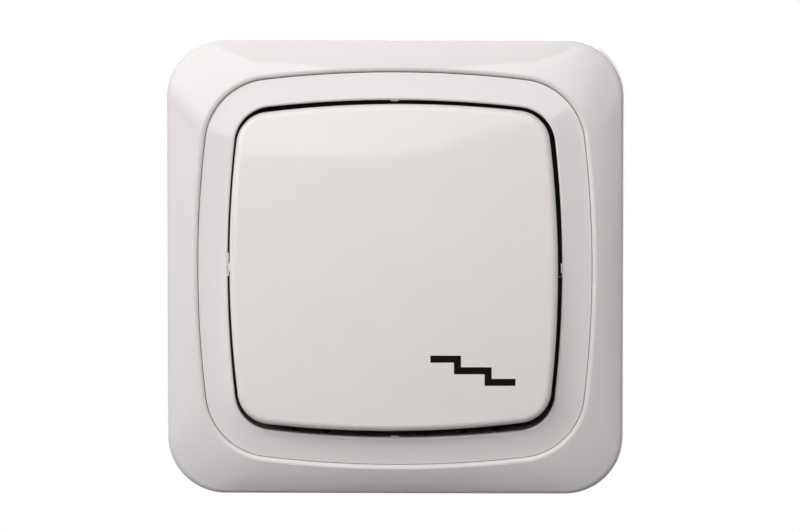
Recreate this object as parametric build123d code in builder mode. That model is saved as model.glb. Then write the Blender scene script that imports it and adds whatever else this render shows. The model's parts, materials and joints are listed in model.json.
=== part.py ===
"""Flush-mounted two-way (staircase) rocker light switch with its mechanism, in millimetres.

The wall is the plane Y = 0. The front faces -Y, the mechanism hangs behind the wall towards +Y,
and +Z is up. A height is measured out of the wall towards the front, so a negative height lies
inside the wall box. The origin is midway between the two box screws, on the wall.

The switch is drawn as it stands in use: the top half of the rocker is pressed in.
"""

import os
from math import cos, radians, sin, tan

from build123d import *

# Cover frame
frame_size = 81.0
frame_corner = 10.4
frame_wall = 2.0
slope_width = 5.65
side_draft = 0.2
rim_height = 5.9
rim_round = 1.3
brow_height = 7.35
brow_inset = 2.1
brow_bow = 1.3
brow_corner = 11.6
crest_height = 8.75
crest_width = 0.8
crest_round = 0.65
ledge_height = 6.5
ledge_thickness = 1.8
ledge_width = 1.7
frame_rib = 1.2
frame_rib_place = 17.0
frame_rib_foot = 1.5

# Centre ring
ring_bow = 2.65
ring_corner = 12.0
ring_joint = 0.1
ring_edge_height = 8.25
ring_rise = 0.75
ring_side_width = 5.3
ring_end_width = 4.95
well_bow = 1.95
well_corner = 6.8
well_edge_round = 0.35
collar_wall = 1.5
collar_foot = 1.3
box_screw_arch_width = 9.6
box_screw_arch_height = 5.5
box_screw_arch_round = 2.0
hook_place = 15.0
hook_width = 4.6
hook_length = 1.2
hook_reach = 0.6
finger_slit = 1.0
finger_length = 4.1
nib_width = 1.4
nib_depth = 0.2
nib_length = 3.0
nib_below_edge = 0.6

# Rocker: it tilts by the same angle each way about its pivot
pivot_height = 4.6
rocker_tilt = 4.0
key_side_gap = 0.58
key_end_gap = 1.05
key_bow = 1.9
key_corner = 5.9
key_edge_height = 6.4
key_crown = 0.8
key_edge_round = 1.2
key_skirt = 5.0
key_wall = 1.6
key_face = 1.9
key_side_shift = -0.16
key_twist = 0.4
key_rib = 1.1
key_rib_pitch = 12.0

# Tumbler that carries the key
barrel_diameter = 8.4
barrel_bore = 5.4
barrel_reach = 10.2
bore_top = 1.8
saddle_width = 19.6
saddle_height = 15.0
saddle_corner = 1.2
saddle_front = 3.4
saddle_thickness = 1.8
cheek_thickness = 1.8
cheek_width = 9.0
cheek_radius = 2.4
barrel_web = 1.4
barrel_web_depth = 4.0
trunnion_diameter = 3.0
trunnion_length = 2.0
clip_width = 6.0
clip_thickness = 1.3
clip_play = 0.12
clip_hook = 0.7
clip_hook_length = 1.0

# Spring and plunger inside the tumbler
spring_wire = 0.6
spring_diameter = 3.4
spring_turns = 5.5
spring_play = 0.05
plunger_diameter = 5.2
plunger_tip_radius = 1.2
plunger_length = 5.75
plunger_cup = 2.6
plunger_cup_bore = 4.2
plunger_gap = 0.05

# Contacts
seesaw_pivot_height = -9.8
seesaw_tilt = 8.0
seesaw_width = 4.8
seesaw_half_length = 11.0
seesaw_thickness = 0.8
seesaw_seat = 0.4
seesaw_wing = 1.8
seesaw_wing_root = 0.55
seesaw_knife = 1.0
seesaw_knife_rise = 0.6
seesaw_corner = 1.0
contact_place = 9.0
contact_diameter = 3.0
contact_height = 0.7
contact_dome = 0.25
contact_shank = 1.8
contact_tail = 2.4
contact_tail_height = 0.35
contact_gap = 0.08
rivet_play = 0.03
strip_thickness = 0.8
strip_width = 4.2
strip_play = 0.1
ear_place = 3.4
ear_height = 0.9
ear_gap = 0.06
ear_notch_angle = 50.0
bus_inner = 4.4
tongue_length = 4.6

# Base housing
housing_width = 44.0
housing_height = 41.0
housing_corner = 8.0
housing_depth = 22.0
housing_edge_round = 1.2
spigot_width = 34.8
spigot_inset = 3.4
spigot_corner = 3.0
cavity_width = 30.4
cavity_corner = 1.0
pillar_inner = 9.6
pillar_half_height = 6.4
floor_height = -12.8
floor_thickness = 1.2
claw_channel_width = 11.8
claw_channel_depth = 3.4
terminal_x = 12.4
terminal_inset = 6.9
pocket_play = 0.3
wire_entry = 3.4

# Terminal cages and their screws
cage_width = 6.8
cage_wall = 1.1
cage_thread_wall = 1.5
cage_length = 5.2
cage_corner = 0.9
cage_play = 0.2
wire_gap = 3.4
cage_travel = 2.5
terminal_screw_diameter = 3.0
terminal_head_diameter = 5.0
terminal_head_height = 1.5
thread_play = 0.05
head_play = 0.1
driver_slot_width = 0.8
driver_slot_depth = 0.8
head_round = 0.3

# Housing cover with the bearing posts
cover_width = 38.6
cover_lap = 2.1
cover_corner = 3.0
cover_thickness = 1.4
cover_window_height = 13.0
post_thickness = 2.2
post_width = 8.0
post_play = 0.3
post_radius = 2.4
bearing_play = 0.05
bearing_mouth = 2.6
housing_screw_place = 14.9
housing_screw_diameter = 2.4
housing_screw_length = 9.0
housing_screw_head = 4.2
housing_screw_head_height = 1.3

# Support plate
plate_margin = 3.5
plate_corner = 6.0
plate_thickness = 1.0
plate_play = 0.1
box_screw_pitch = 60.0
box_slot_width = 4.2
box_slot_length = 6.4
bead_width = 2.4
bead_height = 0.5
bead_length = 26.0
bead_inset = 5.1
bead_wall = 0.4
tab_gap = 0.2
tab_width = 7.0
tab_height = 4.4
tab_round = 0.9
tab_relief = 0.9
tab_relief_length = 4.0
tab_window_width = 5.6
tab_window_foot = 2.1
tab_window_top = 3.8

# Spreading claws, nuts and screws
claw_screw_place = 22.4
claw_screw_diameter = 3.0
claw_screw_length = 10.4
claw_hole = 3.6
claw_head_diameter = 5.0
claw_head_height = 1.8
nut_width = 6.0
nut_length = 7.8
nut_thickness = 2.4
nut_corner = 1.0
nut_height = -6.0
stub_diameter = 2.0
claw_sheet = 1.1
claw_gap = 0.1
claw_arm_width = 4.0
claw_length = 14.0
claw_web_start = 7.6
claw_tooth = 1.6
claw_teeth = 3

# Outlines and places that follow from those values
inside_size = frame_size - 2 * frame_wall
ring_half = frame_size / 2 - slope_width
well_half_width = ring_half - ring_side_width
well_half_height = ring_half - ring_end_width
key_half_width = well_half_width - key_side_gap
key_half_height = well_half_height - key_end_gap
plate_size = inside_size - 2 * plate_margin
tab_inner = well_half_height + collar_wall + tab_gap
tab_place = tab_inner + plate_thickness / 2
bead_place = tab_inner - bead_inset
spigot_height = housing_height - 2 * spigot_inset
cover_height = spigot_height + 2 * cover_lap
terminal_place = housing_height / 2 - terminal_inset

WALL = Plane.XZ
ROCKER = WALL.offset(pivot_height).rotated((-rocker_tilt, 0, 0))
SEESAW = WALL.offset(seesaw_pivot_height).rotated((seesaw_tilt, 0, 0))
SIDES = (-1, 1)
level_slack = 0.01

# Where the terminals are: the side in X and in Z of each
terminals = {"common": (1, -1), "upper": (-1, 1), "lower": (-1, -1)}


def bowed_square(half_width, half_height, bow, corner_radius):
    """Outline whose four sides are shallow arcs that rise by bow, with rounded corners."""
    right = half_width - bow
    top = half_height - bow
    with BuildSketch() as outline:
        with BuildLine():
            ThreePointArc((right, -top), (half_width, 0), (right, top))
            ThreePointArc((right, top), (0, half_height), (-right, top))
            ThreePointArc((-right, top), (-half_width, 0), (-right, -top))
            ThreePointArc((-right, -top), (0, -half_height), (right, -top))
        make_face()
        fillet(outline.vertices(), corner_radius)
    return outline.sketch


def ring_outline(outset=0.0):
    """Outline of the joint between the frame and the ring, moved out by outset."""
    return bowed_square(ring_half + outset, ring_half + outset, ring_bow, ring_corner + outset)


def well_outline(outset=0.0):
    """Outline of the opening that the rocker stands in, moved out by outset."""
    half_width = well_half_width + outset
    return bowed_square(half_width, well_half_height + outset, well_bow, well_corner + outset)


def key_outline(inset=0.0):
    """Outline of the rocker key as it sits on its clips, moved in by inset."""
    half_width = key_half_width - inset
    outline = bowed_square(half_width, key_half_height - inset, key_bow, key_corner - inset)
    return Pos(key_side_shift, 0) * Rot(0, 0, key_twist) * outline


def across(frame, place):
    """Plane square to the frame's X at this place: its X is the frame's Y, its Y is height."""
    origin = frame.from_local_coords((place, 0, 0))
    return Plane(origin=origin, x_dir=frame.y_dir, z_dir=frame.x_dir)


def lengthwise(frame, x=0.0, y=0.0, height=0.0):
    """Plane through a point of the frame for turned profiles: its X is the frame's X, its Y height."""
    origin = frame.from_local_coords((x, y, height))
    return Plane(origin=origin, x_dir=frame.x_dir, z_dir=-frame.y_dir)


def level_with(shape, height, kind="edges"):
    """Edges or faces of a shape that lie flat at this height over the wall."""
    found = shape.edges() if kind == "edges" else shape.faces()
    return found.filter_by_position(Axis.Y, -height - level_slack, -height + level_slack)


def slotted_screw(seat, diameter, length, head_diameter, head_height):
    """Cheese-head screw whose head stands on the seat plane and whose shank runs down from it."""
    along = Axis(seat.origin, seat.z_dir)
    with BuildPart() as screw:
        with BuildSketch(seat):
            Circle(head_diameter / 2)
        extrude(amount=head_height)
        fillet(screw.faces().sort_by(along)[-1].edges(), head_round)
        with BuildSketch(seat):
            Circle(diameter / 2)
        extrude(amount=-length)
        chamfer(screw.faces().sort_by(along)[0].edges(), diameter / 8)
        with BuildSketch(seat.offset(head_height)):
            Rectangle(head_diameter, driver_slot_width)
        extrude(amount=-driver_slot_depth, mode=Mode.SUBTRACT)
    return screw.part


def contact_rivet(seat, height):
    """Domed contact that stands on a seat, with its shank through the strip behind."""
    radius = contact_diameter / 2
    shank = contact_shank / 2
    with BuildPart() as rivet:
        with BuildSketch(lengthwise(seat)):
            with BuildLine():
                halfway = (radius / 2, height - contact_dome / 4)
                ThreePointArc((0, height), halfway, (radius, height - contact_dome))
                Polyline(
                    (radius, height - contact_dome),
                    (radius, 0),
                    (shank, 0),
                    (shank, -strip_thickness),
                    (0, -strip_thickness),
                    (0, height),
                )
            make_face()
        revolve(axis=Axis(seat.origin, seat.z_dir))
    return rivet.part


# Cover frame: drafted sides, a convex slope up to a crest, and a ledge that the ring sits on
rim_size = frame_size - 2 * side_draft
brow_half = frame_size / 2 - brow_inset
inside_corner = frame_corner - frame_wall
shoulder_height = rim_height - frame_wall + side_draft
with BuildPart() as cover_frame:
    with BuildSketch(WALL):
        RectangleRounded(frame_size, frame_size, frame_corner)
    with BuildSketch(WALL.offset(rim_height)):
        RectangleRounded(rim_size, rim_size, frame_corner - side_draft)
    loft()
    with BuildSketch(WALL.offset(rim_height)):
        RectangleRounded(rim_size, rim_size, frame_corner - side_draft)
    with BuildSketch(WALL.offset(brow_height)):
        add(bowed_square(brow_half, brow_half, brow_bow, brow_corner))
    with BuildSketch(WALL.offset(crest_height)):
        add(ring_outline(crest_width))
    loft()
    fillet(level_with(cover_frame, rim_height), rim_round)
    # Hollow behind the slope, wide at the wall and drawn in under the crest
    with BuildSketch(WALL):
        RectangleRounded(inside_size, inside_size, inside_corner)
    extrude(amount=shoulder_height, mode=Mode.SUBTRACT)
    with BuildSketch(WALL.offset(shoulder_height)):
        RectangleRounded(inside_size, inside_size, inside_corner)
    with BuildSketch(WALL.offset(crest_height - frame_wall)):
        add(ring_outline(frame_wall))
    loft(mode=Mode.SUBTRACT)
    # Ledge flange and the ribs that carry it
    with BuildSketch(WALL.offset(ledge_height - ledge_thickness)):
        add(ring_outline(frame_wall))
    extrude(amount=ledge_thickness + crest_width)
    rib_length = inside_size / 2 - ring_half + frame_wall / 2
    rib_middle = ring_half + rib_length / 2
    with BuildSketch(WALL.offset(frame_rib_foot)):
        with PolarLocations(0, 4):
            with Locations((rib_middle, frame_rib_place), (rib_middle, -frame_rib_place)):
                Rectangle(rib_length, frame_rib)
    extrude(amount=ledge_height - frame_rib_foot)
    # Recess for the ring with its rolled lip, and the window through the ledge
    with BuildSketch(WALL.offset(ledge_height)):
        add(ring_outline())
    extrude(amount=crest_height, mode=Mode.SUBTRACT)
    crest = level_with(cover_frame, crest_height, "faces")[0]
    fillet(crest.inner_wires()[0].edges(), crest_round)
    with BuildSketch(WALL):
        add(ring_outline(-ledge_width))
    extrude(amount=ledge_height, mode=Mode.SUBTRACT)

# Centre ring: a sloped rim in the frame's recess and a collar down to the support plate
ring_slope = ring_rise / (ring_half - well_half_width)
ring_top = ring_edge_height + ring_rise
collar_middle = well_half_height + collar_wall / 2
collar_reach = well_half_width + 2 * collar_wall
with BuildPart() as centre_ring:
    with BuildSketch(WALL.offset(ledge_height)):
        add(ring_outline(-ring_joint))
    extrude(amount=ring_edge_height - ledge_height)
    with BuildSketch(WALL.offset(ring_edge_height)):
        add(ring_outline(-ring_joint))
    with BuildSketch(WALL.offset(ring_top + collar_wall * ring_slope)):
        add(well_outline(-collar_wall))
    loft()
    with BuildSketch(WALL.offset(collar_foot)):
        add(well_outline(collar_wall))
    extrude(amount=ledge_height - collar_foot)
    # Hooks that catch in the support plate's tabs
    for side_x in SIDES:
        with BuildSketch(across(WALL, side_x * hook_place - hook_width / 2)):
            with BuildLine():
                hook_top = tab_window_top - plate_play
                hook_tip = tab_inner + hook_reach
                Polyline(
                    (collar_middle - well_bow / 2, hook_top - hook_length),
                    (hook_tip, hook_top - hook_length / 2),
                    (hook_tip, hook_top),
                    (collar_middle - well_bow / 2, hook_top),
                    close=True,
                )
            make_face()
            mirror(about=Plane.YZ)
        extrude(amount=hook_width)
    # Well for the rocker
    with BuildSketch(WALL.offset(collar_foot)):
        add(well_outline())
    extrude(amount=crest_height + ring_rise, mode=Mode.SUBTRACT)
    along_front = Axis((0, 0, 0), (0, -1, 0))
    well_edges = centre_ring.edges().group_by(along_front)[-1]
    fillet(well_edges, well_edge_round)
    # Slits beside each hook, which make it a spring finger
    slit_places = [
        (side_x * hook_place + edge * (hook_width / 2 + finger_slit / 2), side_z * collar_middle)
        for side_x in SIDES
        for edge in SIDES
        for side_z in SIDES
    ]
    with BuildSketch(WALL.offset(collar_foot)):
        with Locations(*slit_places):
            Rectangle(finger_slit, 2 * collar_wall + well_bow)
    extrude(amount=finger_length, mode=Mode.SUBTRACT)
    # Arches over the heads of the box screws
    with BuildSketch(Plane.YZ):
        RectangleRounded(box_screw_arch_width, 2 * box_screw_arch_height, box_screw_arch_round)
    extrude(amount=collar_reach, both=True, mode=Mode.SUBTRACT)
    # Nibs on the wall of the well that centre the rocker
    with BuildSketch(WALL.offset(ring_top - nib_below_edge)):
        with PolarLocations(well_half_width - nib_depth + collar_wall / 2, 2):
            Rectangle(collar_wall, nib_width)
        with PolarLocations(well_half_height - nib_depth + collar_wall / 2, 2, start_angle=90):
            Rectangle(collar_wall, nib_width)
    extrude(amount=-nib_length)

# Rocker key: a crowned shell with ribs and two clips, tilted with its top in
key_foot = key_edge_height - key_skirt
key_axis = Axis(ROCKER.origin, ROCKER.z_dir)
crown_radius = (key_half_width**2 + key_crown**2) / (2 * key_crown)
key_underside = key_edge_height - key_face
rib_foot = saddle_front + clip_play
clip_root = saddle_height / 2 + clip_play
hook_height = saddle_front - saddle_thickness - clip_play
with BuildPart() as rocker_key:
    with BuildSketch(ROCKER.offset(key_foot)):
        add(key_outline())
    extrude(amount=key_skirt + key_crown)
    crown_centre = ROCKER.from_local_coords((0, 0, key_edge_height + key_crown - crown_radius))
    with Locations(Plane(origin=crown_centre, x_dir=-ROCKER.z_dir, z_dir=ROCKER.x_dir)):
        Sphere(crown_radius, mode=Mode.INTERSECT)
    fillet(rocker_key.faces().sort_by(key_axis)[-1].edges(), key_edge_round)
    with BuildSketch(ROCKER.offset(key_foot)):
        add(key_outline(key_wall))
    extrude(amount=key_underside - key_foot, mode=Mode.SUBTRACT)
    # Ribs across the underside, level with the tumbler's saddle
    with BuildSketch(ROCKER.offset(rib_foot)):
        with GridLocations(key_rib_pitch, 0, 4, 1):
            Rectangle(key_rib, 2 * key_half_height - 2 * key_wall)
        with GridLocations(0, key_rib_pitch, 1, 4):
            Rectangle(2 * key_half_width - 2 * key_wall, key_rib)
    extrude(amount=key_underside - rib_foot)
    # Clips that snap under the saddle's two long edges
    for side_z in SIDES:
        with BuildSketch(across(ROCKER, -clip_width / 2)):
            with BuildLine():
                root = side_z * clip_root
                outside = side_z * (clip_root + clip_thickness)
                hook = side_z * (clip_root - clip_hook)
                Polyline(
                    (root, key_underside),
                    (root, hook_height),
                    (hook, hook_height),
                    (root, hook_height - clip_hook_length),
                    (outside, hook_height - clip_hook_length),
                    (outside, key_underside),
                    close=True,
                )
            make_face()
        extrude(amount=clip_width)

# Tumbler: a saddle under the key, cheeks with trunnions, and the barrel of the plunger
barrel_height = saddle_front + barrel_reach
with BuildPart() as tumbler:
    with BuildSketch(ROCKER.offset(saddle_front)):
        RectangleRounded(saddle_width, saddle_height, saddle_corner)
    extrude(amount=-saddle_thickness)
    for side in SIDES:
        outer_face = side * saddle_width / 2
        with BuildSketch(across(ROCKER, outer_face)):
            Circle(cheek_radius)
            with Locations((0, saddle_front - saddle_thickness / 2)):
                Rectangle(cheek_width, saddle_thickness)
            make_hull()
        extrude(amount=-side * cheek_thickness)
        with BuildSketch(across(ROCKER, outer_face)):
            Circle(trunnion_diameter / 2)
        extrude(amount=side * trunnion_length)
    with BuildSketch(lengthwise(ROCKER)):
        with Locations((0, saddle_front - barrel_web_depth)):
            Rectangle(saddle_width - cheek_thickness, 2 * (barrel_web_depth - saddle_thickness))
    extrude(amount=barrel_web / 2, both=True)
    with BuildSketch(ROCKER.offset(saddle_front)):
        Circle(barrel_diameter / 2)
    extrude(amount=-barrel_height)
    with BuildSketch(ROCKER.offset(bore_top)):
        Circle(barrel_bore / 2)
    extrude(amount=-bore_top - barrel_reach, mode=Mode.SUBTRACT)

# Plunger: a cup for the spring with a rounded tip that rides on the seesaw
seesaw_top = seesaw_seat + seesaw_thickness
tip_reach = pivot_height - seesaw_pivot_height - seesaw_top - plunger_gap
plunger_top = plunger_length - tip_reach
with BuildPart() as plunger:
    with BuildSketch(lengthwise(ROCKER)):
        with BuildLine():
            tip_side = plunger_tip_radius * sin(radians(45))
            tip_rise = plunger_tip_radius - tip_side
            nose = plunger_tip_radius * sin(radians(22.5))
            nose_rise = plunger_tip_radius * (1 - cos(radians(22.5)))
            radius = plunger_diameter / 2
            cone_top = tip_rise - tip_reach + radius - tip_side
            ThreePointArc((0, -tip_reach), (nose, nose_rise - tip_reach), (tip_side, tip_rise - tip_reach))
            Polyline(
                (tip_side, tip_rise - tip_reach),
                (radius, cone_top),
                (radius, plunger_top),
                (plunger_cup_bore / 2, plunger_top),
                (plunger_cup_bore / 2, plunger_top - plunger_cup),
                (0, plunger_top - plunger_cup),
                (0, -tip_reach),
            )
        make_face()
    revolve(axis=Axis(ROCKER.origin, ROCKER.z_dir))

# Tumbler spring between the barrel's end and the plunger's cup
spring_foot = plunger_top - plunger_cup + spring_wire / 2 + spring_play
spring_height = bore_top - spring_wire / 2 - spring_play - spring_foot
spring_radius = spring_diameter / 2
spring_pitch = spring_height / spring_turns
spring_base = ROCKER.from_local_coords((0, 0, spring_foot))
with BuildPart() as tumbler_spring:
    with BuildLine() as coil:
        Helix(spring_pitch, spring_height, spring_radius, center=spring_base, direction=ROCKER.z_dir)
    with BuildSketch(Plane(origin=coil.line @ 0, z_dir=coil.line % 0)):
        Circle(spring_wire / 2)
    sweep(path=coil.line, is_frenet=True)

# Seesaw contact: a brass strip with a knife-edged wing on each side
with BuildPart() as seesaw_contact:
    with BuildSketch(SEESAW.offset(seesaw_seat)):
        RectangleRounded(seesaw_width, 2 * seesaw_half_length, seesaw_corner)
        with Locations((0, contact_place), (0, -contact_place)):
            Circle(contact_shank / 2 + rivet_play, mode=Mode.SUBTRACT)
    extrude(amount=seesaw_thickness)
    for side in SIDES:
        with BuildSketch(across(SEESAW, side * (seesaw_width / 2 - seesaw_wing_root))):
            with BuildLine():
                Polyline(
                    (0, 0),
                    (seesaw_knife / 2, seesaw_knife_rise),
                    (seesaw_knife / 2, seesaw_top),
                    (-seesaw_knife / 2, seesaw_top),
                    (-seesaw_knife / 2, seesaw_knife_rise),
                    close=True,
                )
            make_face()
        extrude(amount=side * (seesaw_wing + seesaw_wing_root))

# Contacts on the seesaw, with a riveted tail on its front
with BuildPart() as moving_contact_rivets:
    for side in SIDES:
        seat_origin = SEESAW.from_local_coords((0, side * contact_place, seesaw_seat))
        add(contact_rivet(Plane(seat_origin, SEESAW.x_dir, -SEESAW.z_dir), contact_height))
    with BuildSketch(SEESAW.offset(seesaw_top)):
        with Locations((0, contact_place), (0, -contact_place)):
            Circle(contact_tail / 2)
    extrude(amount=contact_tail_height)

# Fixed contacts, which rise to just short of the closed moving one
strip_top = floor_height + strip_thickness
closed_sine = sin(radians(seesaw_tilt))
closed_cosine = cos(radians(seesaw_tilt))
closed_reach = (contact_height - seesaw_seat) * closed_cosine + contact_place * closed_sine
fixed_contact_height = seesaw_pivot_height - closed_reach - contact_gap - strip_top
with BuildPart() as fixed_contact_rivets:
    for side in SIDES:
        seat_origin = WALL.from_local_coords((0, side * contact_place, strip_top))
        add(contact_rivet(Plane(seat_origin, WALL.x_dir, WALL.z_dir), fixed_contact_height))

# Conductor strips on the housing's floor, each with a tongue bent back into its terminal
tongue_outer = terminal_place + strip_thickness
tongue_foot = floor_height - floor_thickness - tongue_length
strip_half = strip_width / 2


def terminal_tongue(side_x, side_z):
    """End of a strip: along the floor to the terminal, then bent back through the floor."""
    with BuildPart() as tongue:
        with BuildSketch(across(WALL, side_x * terminal_x - strip_half)):
            with BuildLine():
                start = side_z * contact_place
                inner = side_z * terminal_place
                outer = side_z * tongue_outer
                Polyline(
                    (start, floor_height),
                    (inner, floor_height),
                    (inner, tongue_foot),
                    (outer, tongue_foot),
                    (outer, strip_top),
                    (start, strip_top),
                    close=True,
                )
            make_face()
        extrude(amount=strip_width)
        outer_edges = tongue.edges().filter_by(Axis.X).group_by(Axis.Z)[-1 if side_z > 0 else 0]
        fillet(outer_edges.sort_by(Axis.Y)[0], strip_thickness)
    return tongue.part


def throw_strip(side_z):
    """Strip from the pad under one end of the seesaw to the terminal on its own side."""
    with BuildPart() as strip:
        with BuildSketch(WALL.offset(floor_height)):
            with Locations((-terminal_x / 2, side_z * contact_place)):
                Rectangle(terminal_x + strip_width, strip_width)
            with Locations((0, side_z * contact_place)):
                Circle(contact_shank / 2 + rivet_play, mode=Mode.SUBTRACT)
        extrude(amount=strip_thickness)
        add(terminal_tongue(-1, side_z))
    return strip.part


upper_strip = throw_strip(1)
lower_strip = throw_strip(-1)

ear_notch_depth = ear_height + ear_gap
ear_notch_half = ear_notch_depth * tan(radians(ear_notch_angle))
ear_outer = ear_place + strip_thickness / 2
bus_middle = bus_inner + strip_half
with BuildPart() as common_strip:
    with BuildSketch(WALL.offset(floor_height)):
        with Locations(((bus_inner + strip_width - ear_outer) / 2, 0)):
            Rectangle(bus_inner + strip_width + ear_outer, strip_width)
        with Locations((bus_middle, -contact_place / 2)):
            Rectangle(strip_width, contact_place + strip_width)
        with Locations(((bus_inner + terminal_x + strip_half) / 2, -contact_place)):
            Rectangle(terminal_x + strip_half - bus_inner, strip_width)
    extrude(amount=strip_thickness)
    add(terminal_tongue(1, -1))
    # Ears with the notches that the seesaw's knife edges rock in
    for side in SIDES:
        with BuildSketch(across(WALL, side * ear_place - strip_thickness / 2)):
            with BuildLine():
                notch_foot = seesaw_pivot_height - ear_gap
                ear_top = seesaw_pivot_height + ear_height
                Polyline(
                    (-strip_half, floor_height),
                    (strip_half, floor_height),
                    (strip_half, ear_top),
                    (ear_notch_half, ear_top),
                    (0, notch_foot),
                    (-ear_notch_half, ear_top),
                    (-strip_half, ear_top),
                    close=True,
                )
            make_face()
        extrude(amount=strip_thickness)

# Base housing: a moulded body behind the plate with a well, terminal pockets and claw channels
cavity_height = 2 * (tongue_outer + strip_play)
cage_inner = terminal_place - wire_gap
cage_foot = cage_inner - cage_wall
pocket_start = cage_foot - pocket_play
pocket_width = cage_width + 2 * pocket_play
pocket_length = housing_height / 2 + housing_edge_round - pocket_start
pocket_top = floor_height - floor_thickness
pocket_height = cage_length + 2 * cage_play
well_depth = plate_thickness - floor_height
with BuildPart() as base_housing:
    with BuildSketch(WALL):
        RectangleRounded(housing_width, housing_height, housing_corner)
    extrude(amount=-housing_depth)
    fillet(base_housing.faces().sort_by(Axis.Y)[-1].edges(), housing_edge_round)
    with BuildSketch(WALL):
        RectangleRounded(spigot_width, spigot_height, spigot_corner)
    extrude(amount=plate_thickness)
    # Well for the switching mechanism, with a pillar each side for the cover's screws
    with BuildSketch(WALL.offset(plate_thickness)):
        RectangleRounded(cavity_width, cavity_height, cavity_corner)
        pillar_width = cavity_width / 2 - pillar_inner
        with GridLocations(2 * pillar_inner + pillar_width, 0, 2, 1):
            Rectangle(pillar_width, 2 * pillar_half_height, mode=Mode.SUBTRACT)
    extrude(amount=-well_depth, mode=Mode.SUBTRACT)
    with BuildSketch(WALL.offset(plate_thickness)):
        with GridLocations(2 * housing_screw_place, 0, 2, 1):
            Circle(housing_screw_diameter / 2 + thread_play)
    extrude(amount=-housing_screw_length, mode=Mode.SUBTRACT)
    # Channels for the spreading claws
    with BuildSketch(WALL):
        with GridLocations(housing_width, 0, 2, 1):
            Rectangle(2 * claw_channel_depth, claw_channel_width)
    extrude(amount=-housing_depth, mode=Mode.SUBTRACT)
    # Terminal pockets, the slots for the tongues and the wire entries in the back
    for side_x, side_z in terminals.values():
        with BuildSketch(WALL.offset(pocket_top)):
            with Locations((side_x * terminal_x, side_z * (pocket_start + pocket_length / 2))):
                Rectangle(pocket_width, pocket_length)
        extrude(amount=-pocket_height, mode=Mode.SUBTRACT)
        with BuildSketch(WALL.offset(floor_height)):
            with Locations((side_x * terminal_x, side_z * (tongue_outer - strip_thickness / 2))):
                Rectangle(strip_width + 2 * strip_play, strip_thickness + 2 * strip_play)
        extrude(amount=-floor_thickness, mode=Mode.SUBTRACT)
        with BuildSketch(WALL.offset(-housing_depth)):
            with Locations((side_x * terminal_x, side_z * (cage_inner + wire_gap / 2))):
                Rectangle(wire_entry, wire_entry)
        extrude(amount=housing_depth + pocket_top, mode=Mode.SUBTRACT)

# Terminals: a cage that the screw draws outwards, closing it on the wire
cage_opening = wire_gap + strip_thickness + cage_play
cage_depth = cage_wall + cage_opening + cage_thread_wall
cage_height = pocket_top - cage_play
terminal_screw_height = cage_height - cage_length / 2
terminal_screw_seat = cage_foot + cage_depth + cage_travel + head_play
terminal_screw_length = terminal_screw_seat - tongue_outer - strip_play


def terminal_cage(side_x, side_z):
    """Cage of one terminal, open for its tongue and wire, with a threaded outer wall."""
    cage_x = side_x * terminal_x
    with BuildPart() as cage:
        with BuildSketch(WALL.offset(cage_height)):
            with Locations((cage_x, side_z * (cage_foot + cage_depth / 2))):
                RectangleRounded(cage_width, cage_depth, cage_corner)
            with Locations((cage_x, side_z * (cage_inner + cage_opening / 2))):
                Rectangle(cage_width - 2 * cage_wall, cage_opening, mode=Mode.SUBTRACT)
        extrude(amount=-cage_length)
        thread_origin = (cage_x, -terminal_screw_height, side_z * tongue_outer)
        with BuildSketch(Plane(thread_origin, z_dir=(0, 0, side_z))):
            Circle(terminal_screw_diameter / 2 + thread_play)
        extrude(amount=cage_depth, mode=Mode.SUBTRACT)
    return cage.part


def terminal_screw(side_x, side_z):
    """Screw of one terminal, facing out of the housing's side."""
    seat_origin = (side_x * terminal_x, -terminal_screw_height, side_z * terminal_screw_seat)
    seat = Plane(seat_origin, x_dir=(1, 0, 0), z_dir=(0, 0, side_z))
    return slotted_screw(
        seat,
        terminal_screw_diameter,
        terminal_screw_length,
        terminal_head_diameter,
        terminal_head_height,
    )


# Mechanism cover: closes the well, clamps the support plate and carries the rocker's bearings
cover_top = plate_thickness + cover_thickness
post_inner = saddle_width / 2 + post_play
with BuildPart() as mechanism_cover:
    with BuildSketch(WALL.offset(plate_thickness)):
        RectangleRounded(cover_width, cover_height, cover_corner)
        Rectangle(2 * post_inner, cover_window_height, mode=Mode.SUBTRACT)
        with GridLocations(2 * housing_screw_place, 0, 2, 1):
            Circle(housing_screw_diameter / 2 + plate_play, mode=Mode.SUBTRACT)
    extrude(amount=cover_thickness)
    for side in SIDES:
        with BuildSketch(across(WALL, side * post_inner)):
            with Locations((0, pivot_height)):
                Circle(post_radius)
            with Locations((0, cover_top - cover_thickness / 2)):
                Rectangle(post_width, cover_thickness)
            make_hull()
            with Locations((0, pivot_height)):
                Circle(trunnion_diameter / 2 + bearing_play, mode=Mode.SUBTRACT)
            with Locations((0, pivot_height + post_radius / 2)):
                Rectangle(bearing_mouth, post_radius, mode=Mode.SUBTRACT)
        extrude(amount=side * post_thickness)

# Housing screws through the cover into the pillars
with BuildPart() as housing_screws:
    for side in SIDES:
        seat_origin = WALL.from_local_coords((side * housing_screw_place, 0, cover_top))
        seat = Plane(seat_origin, x_dir=WALL.x_dir, z_dir=WALL.z_dir)
        shank_length = housing_screw_length - cover_top
        add(
            slotted_screw(
                seat,
                housing_screw_diameter,
                shank_length,
                housing_screw_head,
                housing_screw_head_height,
            )
        )

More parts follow.
